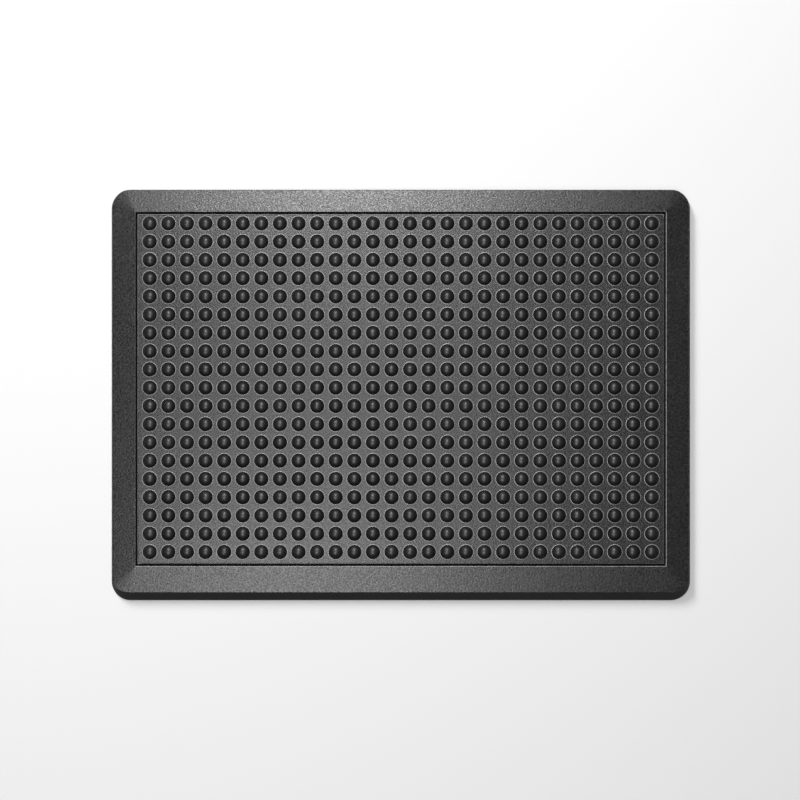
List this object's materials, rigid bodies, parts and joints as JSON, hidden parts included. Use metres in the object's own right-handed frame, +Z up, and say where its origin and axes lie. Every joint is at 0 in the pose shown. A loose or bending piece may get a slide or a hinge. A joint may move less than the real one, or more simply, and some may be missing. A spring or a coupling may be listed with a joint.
{
  "type": "door mat",
  "caption": "Rectangular black rubber door mat: bevelled border frame with rounded corners around a panel of round raised domes, parted by a narrow open groove.",
  "frame": {"origin": "on the floor, under the centre of the mat", "axes": "+X along the long side, +Y towards the back long side, +Z up from the floor"},
  "size_m": [0.85, 0.603, 0.018],
  "materials": {
    "frame_rubber": "satin moulded black rubber with a fine pebbled skin",
    "insert_rubber": "satin moulded black rubber, smoother on the domes",
    "backing_rubber": "matt black rubber sheet with a shallow grip pattern underneath"
  },
  "bodies": {
    "root": {"border_frame": "frame_rubber", "domed_insert": "insert_rubber", "rubber_backing": "backing_rubber"}
  },
  "joints": []
}
